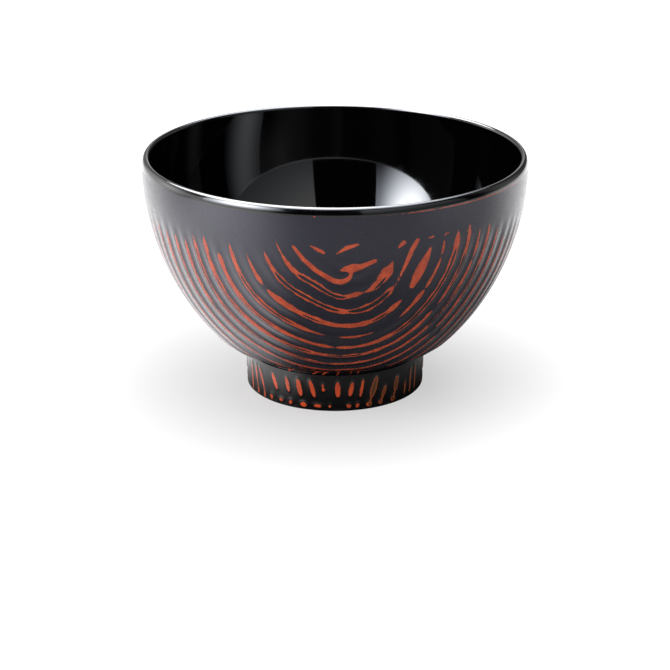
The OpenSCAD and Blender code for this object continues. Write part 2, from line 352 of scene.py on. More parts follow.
def grainFields(places):
    side = np.where(places[:, 1] <= 0, 1.0, -1.0)  # the back carries the same grain
    across = places[:, 0] * side
    outward = -places[:, 1] * side
    down = wall["eye"] - places[:, 2]
    reach = np.sqrt(across ** 2 + outward ** 2 + down ** 2)
    ring = np.degrees(np.arccos(outward / reach))
    around = np.degrees(np.arctan2(across, down))
    index = np.interp(ring - ringWander(ring, around), ringAngles, np.arange(len(ringAngles)))
    nearest = np.rint(index).astype(int)
    half = np.full(len(places), noStroke)
    core = np.full(len(places), noStroke)
    shift = np.zeros(len(places))
    spacing = np.ones(len(places))
    for k in range(len(ringTable)):
        here = nearest == k
        last = min(k + 1, len(ringAngles) - 1)
        first = max(k - 1, 0)
        degrees = (ringAngles[last] - ringAngles[first]) / (last - first)
        pitch = math.radians(degrees) * wall["eyeReach"] / mm
        half[here] = strokeHalf(k, around[here], pitch)
        core[here], shift[here] = coreHalf(k, around[here], pitch)
        spacing[here] = pitch
    turn = np.degrees(np.arctan2(across, outward))
    loose = looseField(turn, places[:, 2], np.hypot(across, outward))
    arc = wall["eyeReach"] / mm * math.pi / 180  # millimetres in a degree
    streaky = smooth(ring, *wall["streakBetween"])
    flow = np.stack([ring * arc, around * np.sin(np.radians(ring)) * arc, streaky], axis=1)
    return {"ring": ring, "index": index, "half": half, "core": core, "shift": shift,
        "pitch": spacing, "loose": loose, "flow": flow}


wallBand = math.degrees(math.asin((bowl["arris"] - wall["grainTop"]) / wallArc))
hipAngle = math.degrees(hipStart)
hipEnd = bowl["hipTurn"]
wallProfile = arcPoints(wallCentre, wallArc, 0, -wallBand, wall["bandRows"])
wallProfile += arcPoints(wallCentre, wallArc, -wallBand, -hipAngle, wall["grainRows"])[1:]
wallProfile += arcPoints(hipCentre, bowl["hip"], -hipAngle, -hipEnd, wall["hipRows"])[1:]
coveEnd = 180 + math.degrees(coveOut)
wallProfile += arcPoints(coveCentre, bowl["cove"], 180 - hipEnd, coveEnd, wall["coveRows"])[1:]
wallBack = [(bowl["footTop"] - bowl["coat"], coveZ)]
wallBack += arcPoints(coveCentre, bowl["cove"] + bowl["coat"], 180, 180 - hipEnd, wall["hiddenRows"])
wallBack += arcPoints(hipCentre, bowl["hip"] - bowl["coat"], -hipEnd, -hipAngle, wall["hiddenRows"])[1:]
wallBack += arcPoints(wallCentre, wallArc - bowl["coat"], -hipAngle, 0, wall["backRows"])[1:]
wallProfile += wallBack
wallProfile.append(wallProfile[0])
outerWall = lathe("outerWall", wallProfile, wall["steps"])

places = getPoints(outerWall)
radial = np.hypot(places[:, 0], places[:, 1])
onHip = places[:, 2] < hipTop
centreOut = np.where(onHip, hipCentre[0], wallCentre[0])
centreUp = np.where(onHip, hipCentre[1], wallCentre[1])
fromCentre = np.hypot(radial - centreOut, places[:, 2] - centreUp)
skin = np.abs(fromCentre - np.where(onHip, bowl["hip"], wallArc)) < wall["skin"]
grain = grainFields(places)
grain["half"][places[:, 2] < hipLow - wall["coveBelow"]] = noStroke  # no rings in the cove
phase = 2 * np.pi * grain["index"]
crest = smooth(0.5 + 0.5 * np.cos(phase - 2 * np.pi * wall["crestShift"]), *wall["crestRound"])
fade = 1 - smooth(places[:, 2], wall["grainFull"], wall["grainTop"])
nearEye = wall["eyeRelief"] + (1 - wall["eyeRelief"]) * smooth(grain["ring"], *wall["eyeBetween"])
farSides = 1 - (1 - wall["sideRelief"]) * smooth(grain["ring"], *wall["sideBetween"])
depth = wall["relief"] * nearEye * farSides
sink = depth * (1 - crest) * fade * skin
outNormal = np.stack([
    (radial - centreOut) / fromCentre * places[:, 0] / radial,
    (radial - centreOut) / fromCentre * places[:, 1] / radial,
    (places[:, 2] - centreUp) / fromCentre,
], axis=1)
setPoints(outerWall, places - outNormal * sink[:, None])
addField(outerWall, "grain", np.stack([np.cos(phase), np.sin(phase), grain["half"]], axis=1))
addField(outerWall, "core", np.stack([grain["core"], grain["shift"], grain["pitch"]], axis=1))
addField(outerWall, "loose", grain["loose"])
addField(outerWall, "flow", grain["flow"])
# where the cove lies, for the shade that is painted there in the wall's material
inCove = 1 - smooth(places[:, 2], hipLow - wall["coveBelow"], hipLow + wall["coveAbove"])
addField(outerWall, "cove", inCove)
shadeSmooth(outerWall, wall["crease"])
print("outside wall grained")


# lip
# wear: where the red shows along the lip's lower edge, as turn round the bowl, reach in degrees, strength
lip = {
    "steps": 512,
    "sideRows": 24,
    "noseRows": 12,
    "crease": 40,
    "wearHeight": 0.5 * mm,
    "wornBetween": (0.84, 0.98),  # wear and noise together, from black to red
    "wear": [(-15.2, 0.35, 1.0), (-5.6, 0.6, 0.6), (14, 5, 0.4), (25, 7, 0.8), (36, 10, 0.95),
        (50, 11, 0.95), (62, 8, 0.7), (86, 12, 0.6), (128, 9, 0.4), (171, 6, 0.5), (205, 12, 0.55),
        (262, 7, 0.5)],
}


def lipLine(inRadius, outRadius, top, inRound):  # curves over from the widest circle to the inner rounding
    crown = inRadius + inRound
    line = []
    for x, z in arcPoints((0, 0), 1, 0, 90, lip["sideRows"]):
        line.append((crown + (outRadius - crown) * x, bowl["arris"] + (top - bowl["arris"]) * z))
    return line + arcPoints((crown, top - inRound), inRound, 90, 180, lip["noseRows"])[1:]


lipProfile = lipLine(lipInside, bowl["rim"], bowl["top"], bowl["lipRound"])
lipProfile.append((lipInside, noseZ))
lipProfile.append((lipInside + bowl["insideCoat"], noseZ))
coreLip = lipLine(lipInside + bowl["insideCoat"], bowl["rim"] - bowl["coat"],
    bowl["top"] - bowl["insideCoat"], bowl["coreRound"])
lipProfile += reversed(coreLip)
lipProfile.append(lipProfile[0])
lipPiece = lathe("lip", lipProfile, lip["steps"])
places = getPoints(lipPiece)
turn = np.degrees(np.arctan2(places[:, 0], -places[:, 1]))
worn = np.zeros(len(places))
for middle, reach, strength in lip["wear"]:
    away = (turn - middle + 180) % 360 - 180
    worn = np.maximum(worn, strength * np.exp(-(away / reach) ** 2))
addField(lipPiece, "wear", worn * (1 - np.clip((places[:, 2] - bowl["arris"]) / lip["wearHeight"], 0, 1)))
shadeSmooth(lipPiece, lip["crease"])


# inside
inside = {"steps": 384, "wallRows": 40, "blendRows": 24, "floorRows": 6, "crease": 40}


def insideLine(depth):
    line = arcPoints(insideCentre, insideArc + depth, 0, blendTurn, inside["wallRows"])
    line += arcPoints(blendCentre, bowl["blend"] + depth, blendTurn, -90, inside["blendRows"])[1:]
    low = bowl["floor"] - depth
    line += [(blendCentre[0] * (1 - i / inside["floorRows"]), low) for i in range(1, inside["floorRows"] + 1)]
    return line


insideProfile = insideLine(0) + list(reversed(insideLine(bowl["insideCoat"])))
insideProfile.append(insideProfile[0])
bowlInside = lathe("bowlInside", insideProfile, inside["steps"])
shadeSmooth(bowlInside, inside["crease"])


# foot
# strokes: angle at the top, angle at the bottom, top, bottom, width, then the dot's angle, width and height
# sideStroke and backStroke: the same, with the later angles counted from the one at the top
foot = {
    "steps": 640,
    "sideRows": 40,
    "edgeRows": 5,
    "wellRows": 8,
    "crease": 50,
    "edge": 0.35 * mm,  # rounding of the bearing edge
    "rest": 0.45 * mm,  # coat under the ring
    "relief": 0.18 * mm,
    "reliefFull": 1.2 * mm,  # the relief has its full depth above this height
    "strokeSide": (-0.9, 0.1),  # distances from its edge between which a stroke rises
    "strokeRound": 0.4,  # below 1 the strokes have fuller ends
    "skin": 0.12 * mm,  # points this close to the slope are on the outside
    "dotMiddle": 1.55,
    "shadeAndHollowFrom": 21,  # strokes past this turn, on the foot's side away from the key, are painted browner as shade, and are thin and brown in the middle
    "sideCount": 12,
    "spacing": 8.2,
    "sideFrom": 79.0,
    "sideStroke": (-1.5, 9.1, 4.2, 1.1, -3.5, 1.3, 1.2),
    "backFrom": 183.0,
    "backStroke": (-1.5, 9.0, 4.0, 1.2, -3.5, 1.2, 1.4),
    "strokes": [
        (-67.4, -66.1, 9.0, 0.4, 0.8, None, 0, 0),
        (-61.0, -59.7, 9.2, 4.2, 0.8, -58.3, 0.8, 2.2),
        (-59.7, -58.5, 4.4, 2.0, 0.4, None, 0, 0),
        (-56.3, -52.0, 9.0, 3.5, 0.9, -51.2, 0.8, 2.0),
        (-52.1, -51.4, 3.8, 2.0, 0.4, None, 0, 0),
        (-43.2, -39.7, 9.1, 4.4, 1.3, -44.6, 1.0, 1.5),
        (-32.3, -30.4, 9.2, 4.7, 1.1, -36.6, 1.2, 1.0),
        (-24.0, -21.9, 9.2, 4.1, 1.5, -29.3, 1.0, 1.3),
        (-15.7, -13.0, 9.3, 4.2, 1.25, -20.3, 1.9, 1.4),
        (-7.7, -7.5, 8.4, 7.0, 0.5, -10.9, 2.1, 1.0),
        (-7.4, -7.2, 7.2, 6.1, 0.9, None, 0, 0),
        (1.6, 1.9, 9.1, 4.4, 1.4, -3.3, 0.7, 0.8),
        (11.0, 9.4, 8.8, 4.6, 1.3, 8.7, 1.3, 1.1),
        (17.9, 16.0, 9.3, 4.0, 0.9, 14.3, 1.1, 1.3),
        (27.0, 23.5, 9.6, 3.3, 1.8, 22.1, 1.7, 1.5),
        (23.6, 22.4, 3.6, 1.9, 0.6, None, 0, 0),
        (33.6, 31.5, 6.3, 3.0, 1.2, 30.1, 1.4, 1.3),
        (31.8, 30.4, 3.4, 1.8, 0.7, None, 0, 0),
        (43.2, 41.6, 8.2, 3.6, 1.6, 39.7, 1.7, 1.5),
        (41.7, 40.0, 4.0, 1.8, 0.7, None, 0, 0),
        (51.0, 50.3, 5.5, 1.6, 0.6, None, 0, 0),
        (57.0, 56.0, 8.8, 1.3, 0.8, None, 0, 0),
        (63.0, 62.4, 8.8, 1.5, 0.7, None, 0, 0),
    ],
}
footStrokes = list(foot["strokes"])
for first, stroke in ((foot["sideFrom"], foot["sideStroke"]), (foot["backFrom"], foot["backStroke"])):
    lean, high, low, width, dot, dotWidth, dotTall = stroke
    for i in range(foot["sideCount"]):
        angle = first + i * foot["spacing"]
        footStrokes.append((angle, angle + lean, high, low, width, angle + dot, dotWidth, dotTall))


def footField(turn, z):  # signed distance inside the nearest stroke, in millimetres
    field = np.full(turn.shape, farOff)
    height = z / mm
    radius = bowl["foot"] / mm
    for top, bottom, high, low, width, dot, dotWidth, dotTall in footStrokes:
        share = np.clip((height - low) / (high - low), 0, 1)
        along = (turn - (bottom + (top - bottom) * share) + 180) % 360 - 180
        across = np.abs(along) * math.pi / 180 * radius
        halfWidth = width / 2 * np.power(np.clip(4 * share * (1 - share), 0, 1), foot["strokeRound"])
        past = np.maximum(np.maximum(height - high, low - height), 0)
        field = np.maximum(field, halfWidth - np.hypot(across, past))
        if dot is not None:
            along = (turn - dot + 180) % 360 - 180
            across = along * math.pi / 180 * radius / (dotWidth / 2)
            up = (height - foot["dotMiddle"]) / (dotTall / 2)
            field = np.maximum(field, (1 - np.hypot(across, up)) * min(dotWidth, dotTall) / 2)
    return field


edge = foot["edge"]
footProfile = [(bowl["footTop"] + (bowl["foot"] - bowl["footTop"]) * i / foot["sideRows"],
    coveZ + (edge - coveZ) * i / foot["sideRows"]) for i in range(foot["sideRows"])]
footProfile += arcPoints((bowl["foot"] - edge, edge), edge, 0, -90, foot["edgeRows"])
footProfile += arcPoints((bowl["well"] + edge, edge), edge, -90, -180, foot["edgeRows"])
curve = bowl["wellCurve"]
wellCentre = (bowl["well"] - curve, bowl["wellTop"] - curve)
footProfile += arcPoints(wellCentre, curve, 0, 90, foot["wellRows"])
footProfile.append((0, bowl["wellTop"]))
hidden = bowl["insideCoat"]
wellBack = arcPoints(wellCentre, curve + hidden, 0, 90, foot["wellRows"])
footProfile.append((0, bowl["wellTop"] + hidden))
footProfile += reversed(wellBack)
footBack = [(bowl["well"] + hidden, foot["rest"]), (bowl["foot"] - bowl["coat"], foot["rest"]),
    (bowl["footTop"] - bowl["coat"], coveZ)]
footProfile += footBack
footProfile.append(footProfile[0])
footRing = lathe("footRing", footProfile, foot["steps"])

places = getPoints(footRing)
radial = np.hypot(places[:, 0], places[:, 1])
turn = np.degrees(np.arctan2(places[:, 0], -places[:, 1]))
slope = bowl["foot"] + (bowl["footTop"] - bowl["foot"]) * places[:, 2] / coveZ
skin = np.abs(radial - slope) < foot["skin"]
field = footField(turn, places[:, 2])
raised = smooth(field, *foot["strokeSide"])
sink = foot["relief"] * (1 - raised) * skin * smooth(places[:, 2], 0, foot["reliefFull"])
places[:, 0] *= 1 - sink / np.maximum(radial, mm)
places[:, 1] *= 1 - sink / np.maximum(radial, mm)
setPoints(footRing, places)
addField(footRing, "stroke", np.where(skin, field, farOff))
# the foot's side away from the key, where shade is painted on the strokes and their middles turn brown
addField(footRing, "hollow", smooth(turn, foot["shadeAndHollowFrom"], foot["shadeAndHollowFrom"] + 1))
shadeSmooth(footRing, foot["crease"])
print("foot ring grained")


# core
coreBody = {"steps": 384, "crease": 30}
coreProfile = list(reversed(insideLine(bowl["insideCoat"])))
coreProfile += reversed(coreLip)
coreProfile += reversed(wallBack)
coreProfile += reversed(footBack)
coreProfile += wellBack
coreProfile.append((0, bowl["wellTop"] + hidden))
coreProfile.append(coreProfile[0])
turnedCore = lathe("turnedCore", coreProfile, coreBody["steps"])
shadeSmooth(turnedCore, coreBody["crease"])


# materials
def newMaterial(name):
    material = bpy.data.materials.new(name)
    material.use_nodes = True
    tree = material.node_tree
    return material, tree, tree.nodes["Principled BSDF"]


def addNode(tree, kind, **settings):
    node = tree.nodes.new(kind)
    for key, value in settings.items():
        setattr(node, key, value)
    return node


def calc(tree, operation, first, second=None, third=None):
    node = addNode(tree, "ShaderNodeMath", operation=operation)
    for slot, value in zip(node.inputs, (first, second, third)):
        if value is None:
            continue
        if isinstance(value, (int, float)):
            slot.default_value = value
        else:
            tree.links.new(value, slot)
    return node.outputs[0]


def noiseAt(tree, scale, detail, rough=0.5, stretch=None):
    coords = addNode(tree, "ShaderNodeTexCoord").outputs["Object"]
    if stretch:
        mapping = addNode(tree, "ShaderNodeMapping")
        mapping.inputs["Scale"].default_value = stretch
        tree.links.new(coords, mapping.inputs["Vector"])
        coords = mapping.outputs["Vector"]
    node = addNode(tree, "ShaderNodeTexNoise")
    node.inputs["Scale"].default_value = scale
    node.inputs["Detail"].default_value = detail
    node.inputs["Roughness"].default_value = rough
    tree.links.new(coords, node.inputs["Vector"])
    return node.outputs["Fac"]


def mapRange(tree, value, low, high, toLow=0.0, toHigh=1.0):
    node = addNode(tree, "ShaderNodeMapRange", interpolation_type="SMOOTHSTEP")
    tree.links.new(value, node.inputs["Value"])
    for slot, number in zip(("From Min", "From Max", "To Min", "To Max"), (low, high, toLow, toHigh)):
        node.inputs[slot].default_value = number
    return node.outputs["Result"]


def mixColour(tree, share, first, second):
    node = addNode(tree, "ShaderNodeMix", data_type="RGBA")
    tree.links.new(share, node.inputs["Factor"])
    sockets = [s for s in node.inputs if s.type == "RGBA"]
    for slot, value in zip(sockets, (first, second)):
        if isinstance(value, tuple):
            slot.default_value = (*value, 1)
        else:
            tree.links.new(value, slot)
    return [s for s in node.outputs if s.type == "RGBA"][0]


def attribute(tree, name, output):
    return addNode(tree, "ShaderNodeAttribute", attribute_name=name).outputs[output]


def split(tree, vector):
    node = addNode(tree, "ShaderNodeSeparateXYZ")
    tree.links.new(vector, node.inputs[0])
    return node.outputs["X"], node.outputs["Y"], node.outputs["Z"]


lacquer = {
    "black": (0.0042, 0.0038, 0.012),
    "blackWarm": (0.006, 0.0054, 0.014),
    "red": (0.61, 0.088, 0.025),
    "redDeep": (0.43, 0.054, 0.017),
    "film": (0.06, 0.016, 0.008),  # black rubbed thin over the red
    "core": (0.009, 0.0075, 0.009),  # undercoat where the red is rubbed through
    # the black is darker on the foot than on the wall, painted shade under the bowl; the cove's painted shade
    # uses it too
    "footBlackShaded": (0.002, 0.0016, 0.002),
    # the reds are brighter on the foot than on the wall, painted light where the bowl's overhang shades the
    # foot
    "footRedLit": (0.8, 0.1, 0.028),
    "footDeepLit": (0.6, 0.07, 0.02),
    "shadedRedBrown": (0.36, 0.08, 0.024),  # edge of a thin stroke, its red painted browner as shade on the foot's side away from the key
    "brown": (0.13, 0.05, 0.016),  # and its middle
    "brownBetween": (0.2, 0.5),  # millimetres in from its edge
    "gloss": (0.0004, 0.0004, 0.0005),  # inside the bowl
    "glossWarm": (0.0008, 0.0007, 0.0008),
    "lip": (0.001, 0.001, 0.0013),
    "lipWarm": (0.0022, 0.002, 0.0022),
    "edge": 0.1,  # millimetres over which the red runs into the black
    "filmEdge": (-2.6, 0.2),  # where the film comes in, in widths of that edge
    "redEdge": (-0.5, 0.7),  # the red
    "coreEdge": (-0.5, 0.6),  # and its dark core
    "redTone": (0.35, 0.7),  # noise from the bright red to the deep red
    "blackShine": 0.46,
    "redShine": 0.4,
    "coveShine": 0.15,  # share of it that is left in the cove, lowered there as painted shade
    "footShine": 0.45,
    "shineTint": (0.92, 0.91, 1.0, 1),
    "spots": (0.3, 0.7),  # noise from the smoothest spots to the roughest
    "wallRough": (0.25, 0.31),
    "footRough": (0.16, 0.22),
    "insideRough": (0.03, 0.05),
    "lipRough": (0.08, 0.14),
    "bump": 0.04,
    "bumpDeep": 0.05 * mm,
    "ior": 1.53,
}
texture = {  # waves to a metre
    "black": 140,
    "red": 420,
    "rag": 1500,
    "patches": 380,
    "footRag": 1100,
    "gloss": 90,
    "wear": 900,
    "spots": 600,
    "glossSpots": 300,
    "bump": 1400,
}
rag = {
    "wall": 0.2,  # how far an edge wanders, in millimetres
    "patches": 0.2,
    "foot": 0.5,
    "rough": 0.6,  # how jagged it is
}
# waves to a millimetre across and along the grain, and how far they break up the red
streaks = {"across": 1.9, "along": 0.17, "detail": 3.0, "inner": 0.2, "outer": 0.8}


def raggedEdge(tree, scale, detail, wide, rough=0.5):
    return calc(tree, "MULTIPLY_ADD", noiseAt(tree, scale, detail, rough), wide, -wide / 2)


def setRoughness(tree, shader, scale, between):
    spots = mapRange(tree, noiseAt(tree, scale, 3), *lacquer["spots"], *between)
    tree.links.new(spots, shader.inputs["Roughness"])


def overEdge(tree, inward, between):
    return mapRange(tree, inward, between[0] * lacquer["edge"], between[1] * lacquer["edge"])


def lacquerColours(tree, edgeIn, coreIn, blacks, reds):
    black = mixColour(tree, noiseAt(tree, texture["black"], 3), lacquer[blacks[0]], lacquer[blacks[1]])
    redTone = mapRange(tree, noiseAt(tree, texture["red"], 4), *lacquer["redTone"])
    red = mixColour(tree, redTone, lacquer[reds[0]], lacquer[reds[1]])
    bright = overEdge(tree, edgeIn, lacquer["redEdge"])
    colour = mixColour(tree, overEdge(tree, edgeIn, lacquer["filmEdge"]), black, lacquer["film"])
    colour = mixColour(tree, bright, colour, red)
    if coreIn is not None:
        colour = mixColour(tree, overEdge(tree, coreIn, lacquer["coreEdge"]), colour, lacquer["core"])
    return colour, bright


wallLacquer, tree, shader = newMaterial("wallLacquer")
crestCos, crestSin, strokeIn = split(tree, attribute(tree, "grain", "Vector"))
darkIn, darkShift, pitchIn = split(tree, attribute(tree, "core", "Vector"))
acrossGrain, alongGrain, streaky = split(tree, attribute(tree, "flow", "Vector"))
coveIn = attribute(tree, "cove", "Fac")
combed = addNode(tree, "ShaderNodeCombineXYZ")  # fine lines that run along the grain
tree.links.new(calc(tree, "MULTIPLY", acrossGrain, streaks["across"]), combed.inputs["X"])
tree.links.new(calc(tree, "MULTIPLY", alongGrain, streaks["along"]), combed.inputs["Y"])
streak = addNode(tree, "ShaderNodeTexNoise")
streak.inputs["Scale"].default_value = 1.0
streak.inputs["Detail"].default_value = streaks["detail"]
tree.links.new(combed.outputs["Vector"], streak.inputs["Vector"])
breakUp = calc(tree, "MULTIPLY_ADD", streaky, streaks["outer"], streaks["inner"])
streakEdge = calc(tree, "MULTIPLY", calc(tree, "SUBTRACT", streak.outputs["Fac"], 0.5), breakUp)
fineEdge = raggedEdge(tree, texture["rag"], 4, rag["wall"], rag["rough"])
patchEdge = raggedEdge(tree, texture["patches"], 2, rag["patches"])
wander = calc(tree, "ADD", calc(tree, "ADD", fineEdge, patchEdge), streakEdge)
offset = calc(tree, "ARCTAN2", crestSin, crestCos)
offset = calc(tree, "MULTIPLY", offset, 1 / (2 * math.pi))  # ring spacings off the crest
ringEdge = calc(tree, "SUBTRACT", strokeIn, calc(tree, "ABSOLUTE", offset))
ringEdge = calc(tree, "MULTIPLY", ringEdge, pitchIn)  # in millimetres
edgeIn = calc(tree, "ADD", calc(tree, "MAXIMUM", ringEdge, attribute(tree, "loose", "Fac")), wander)
darkAway = calc(tree, "ABSOLUTE", calc(tree, "SUBTRACT", offset, darkShift))
darkEdge = calc(tree, "MULTIPLY", calc(tree, "SUBTRACT", darkIn, darkAway), pitchIn)
darkEdge = calc(tree, "SUBTRACT", darkEdge, wander)
colour, bright = lacquerColours(tree, edgeIn, darkEdge, ("black", "blackWarm"), ("red", "redDeep"))
# painted shade: the cove under the hip turns a darker black
coveShade = calc(tree, "MULTIPLY", coveIn, calc(tree, "SUBTRACT", 1.0, bright))
colour = mixColour(tree, coveShade, colour, lacquer["footBlackShaded"])
tree.links.new(colour, shader.inputs["Base Color"])
setRoughness(tree, shader, texture["spots"], lacquer["wallRough"])
shine = mapRange(tree, bright, 0.0, 1.0, lacquer["blackShine"], lacquer["redShine"])
# painted shade: less shine in the cove
shine = calc(tree, "MULTIPLY", shine, mapRange(tree, coveIn, 0.0, 1.0, 1.0, lacquer["coveShine"]))
tree.links.new(shine, shader.inputs["Specular IOR Level"])
shader.inputs["Specular Tint"].default_value = lacquer["shineTint"]
bump = addNode(tree, "ShaderNodeBump")
bump.inputs["Strength"].default_value = lacquer["bump"]
bump.inputs["Distance"].default_value = lacquer["bumpDeep"]
tree.links.new(noiseAt(tree, texture["bump"], 3), bump.inputs["Height"])
tree.links.new(bump.outputs["Normal"], shader.inputs["Normal"])
shader.inputs["IOR"].default_value = lacquer["ior"]

footLacquer, tree, shader = newMaterial("footLacquer")
fineEdge = raggedEdge(tree, texture["footRag"], 4, rag["foot"], rag["rough"])
edgeIn = calc(tree, "ADD", attribute(tree, "stroke", "Fac"), fineEdge)
colour, bright = lacquerColours(tree, edgeIn, None, ("footBlackShaded", "footBlackShaded"), ("footRedLit", "footDeepLit"))
hollow = attribute(tree, "hollow", "Fac")
# painted shade: strokes on the side away from the key turn browner, with brown middles
colour = mixColour(tree, calc(tree, "MULTIPLY", bright, hollow), colour, lacquer["shadedRedBrown"])
thin = calc(tree, "MULTIPLY", mapRange(tree, edgeIn, *lacquer["brownBetween"]), hollow)
colour = mixColour(tree, thin, colour, lacquer["brown"])
tree.links.new(colour, shader.inputs["Base Color"])
setRoughness(tree, shader, texture["spots"], lacquer["footRough"])
shader.inputs["Specular IOR Level"].default_value = lacquer["footShine"]

glossLacquer, tree, shader = newMaterial("glossLacquer")
colour = mixColour(tree, noiseAt(tree, texture["gloss"], 2), lacquer["gloss"], lacquer["glossWarm"])
tree.links.new(colour, shader.inputs["Base Color"])
setRoughness(tree, shader, texture["glossSpots"], lacquer["insideRough"])
shader.inputs["IOR"].default_value = lacquer["ior"]

lipLacquer, tree, shader = newMaterial("lipLacquer")
colour = mixColour(tree, noiseAt(tree, texture["gloss"], 2), lacquer["lip"], lacquer["lipWarm"])
wornEdge = calc(tree, "ADD", attribute(tree, "wear", "Fac"), noiseAt(tree, texture["wear"], 3))
colour = mixColour(tree, mapRange(tree, wornEdge, *lip["wornBetween"]), colour, lacquer["redDeep"])
tree.links.new(colour, shader.inputs["Base Color"])
setRoughness(tree, shader, texture["glossSpots"], lacquer["lipRough"])
shader.inputs["IOR"].default_value = lacquer["ior"]

wood = {
    "dark": (0.42, 0.26, 0.13),
    "light": (0.56, 0.38, 0.21),
    "scale": 60,  # waves to a metre
    "stretch": (1, 1, 0.12),
    "jagged": 0.6,
    "rough": 0.6,
}
coreWood, tree, shader = newMaterial("coreWood")
grainTone = noiseAt(tree, wood["scale"], 5, wood["jagged"], wood["stretch"])
colour = mixColour(tree, grainTone, wood["dark"], wood["light"])
tree.links.new(colour, shader.inputs["Base Color"])
shader.inputs["Roughness"].default_value = wood["rough"]

for piece, material, slotName, nodes in (
    (outerWall, wallLacquer, "black_satin", ("black_wall_coat", "red_wall_coat", "wall_grain")),
    (lipPiece, lipLacquer, "black_gloss", ("rim_coat",)),
    (bowlInside, glossLacquer, "black_gloss", ("inner_coat",)),
    (footRing, footLacquer, "black_satin",
        ("black_foot_coat", "red_foot_coat", "foot_grain", "foot_rest_coat", "foot_well_coat")),
    (turnedCore, coreWood, "core_wood", ("wood_core",)),
):
    piece.data.materials.clear()
    piece.data.materials.append(material)
    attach(piece, "root")
    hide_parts(*nodes)
print("materials set")


# stage, light and camera
# places on the floor in metres from the bowl's middle
studio = {
    "floorWide": 1.5,
    "floorNear": -1.0,
    "floorFar": 1.6,
    "paper": 0.36,
    "paperRough": 0.9,
    "lift": 0.52,  # how far the paper is lifted to white for the camera, by the bowl
    "liftSide": 0.05,  # more on the right and less on the left
    "liftSideReach": 0.06,
    "liftFar": 0.84,  # and away from the bowl
    "liftBetween": (0.04, 0.125),
    "glossNear": 0.4,  # the same for reflections, in front of the bowl
    "glossFar": 1.7,  # and behind it
    "glossBetween": (-0.02, 0.12),
    "glossRing": (0.025, 0.045),  # the lift for reflections starts at the foot
    "sheen": 1.8,  # the key's light on the paper, as reflections see it
    "sheenAt": (-0.2, -0.09),
    "sheenReach": 0.2,
    "keySide": (-0.985, -0.174),  # where the key shines in under the bowl
    "keyFan": (0.5, 0.85),
    "keyLift": 1.35,
    "keyBetween": (0.3, 0.05),
    "keyFar": 1.2,  # and further out
    "sideFar": 0.6,  # far floor to both sides
    "sideFan": (0.6, 0.9),
    "farFront": (0.04, -0.12),  # both only in front of the bowl
    "farBetween": (0.15, 0.27),
    "shade": 0.38,  # share of light on the paper elsewhere near the bowl, in reflections
    "shadeFront": (0.06, 0.0),
    "shadeBetween": (0.14, 0.06),
}
# the studio's far side in reflections, by its direction from the bowl
haze = {
    "plain": 0.4,
    "middle": 0.6,  # more of it behind the bowl
    "middleX": 0.08,
    "middleBetween": (0.2, 0.05),
    "sides": 1.4,  # and out to both sides
    "sidesBetween": (0.45, 0.85),
    "right": 0.3,  # less of it on the right
    "rightBetween": (0.08, 0.2),
    "backBetween": (0.0, 0.4),
    "key": 2.0,  # low down under the key panel
    "keyX": (-0.5, -0.75),
    "keyY": (0.65, 0.3),
    "keyZ": (0.4, 0.2),
    "world": 0.004,
}
panelTint = (0.8, 0.87, 1.0)  # colour of a panel's dim edge
panelGap = 0.03  # the panel that shines stands this far in front of the one that lights
# azimuth from the camera to the right, turn and tilt of the face, sizes in metres,
# shine: brightness in reflections, light: brightness as a lamp,
# then the shares left at the edges, and where between them the panel is brightest
panels = {
    "key": {"azimuth": -56.8, "distance": 1.2, "height": 0.62, "turn": -56.8, "tilt": 0, "roll": 12,
        "wide": 1.12, "tall": 1.1, "shine": 26.0, "light": 2.7, "left": 0.25, "right": 0.12, "middle": 0.45,
        "low": 0.0, "high": 1.0, "crown": 0.58},
    "right": {"azimuth": 47.7, "distance": 1.2, "height": 0.62, "turn": 47.7, "tilt": 0, "roll": 0,
        "wide": 1.49, "tall": 1.2, "shine": 0.95, "light": 0.7, "left": 1.0, "right": 0.55, "middle": 0.1,
        "low": 0.3, "high": 1.0, "crown": 0.8},
    "top": {"azimuth": -135, "distance": 0.28, "height": 0.95, "turn": 0, "tilt": 90, "roll": 0,
        "wide": 1.5, "tall": 1.6, "shine": 22.0, "light": 2.4, "left": 0.8, "right": 0.2, "middle": 0.55,
        "low": 0.15, "high": 0.7, "crown": 0.42},
}

clearSelection()
bpy.ops.mesh.primitive_plane_add(size=1)
sheet = bpy.context.object
sheet.name = "paperFloor"
bpy.ops.object.mode_set(mode="EDIT")
bpy.ops.mesh.select_all(action="SELECT")
bpy.ops.mesh.merge(type="CENTER")
bpy.ops.transform.translate(value=(-studio["floorWide"], studio["floorNear"], 0))
deep = {"value": (0, studio["floorFar"] - studio["floorNear"], 0)}
bpy.ops.mesh.extrude_region_move(TRANSFORM_OT_translate=deep)
bpy.ops.mesh.select_all(action="SELECT")
wide = {"value": (2 * studio["floorWide"], 0, 0)}
bpy.ops.mesh.extrude_region_move(TRANSFORM_OT_translate=wide)
bpy.ops.mesh.select_all(action="SELECT")
bpy.ops.mesh.normals_make_consistent(inside=False)
bpy.ops.object.mode_set(mode="OBJECT")
shadeSmooth(sheet, 40)


def distance(tree, x, y):
    return calc(tree, "SQRT", calc(tree, "ADD", calc(tree, "POWER", x, 2.0), calc(tree, "POWER", y, 2.0)))


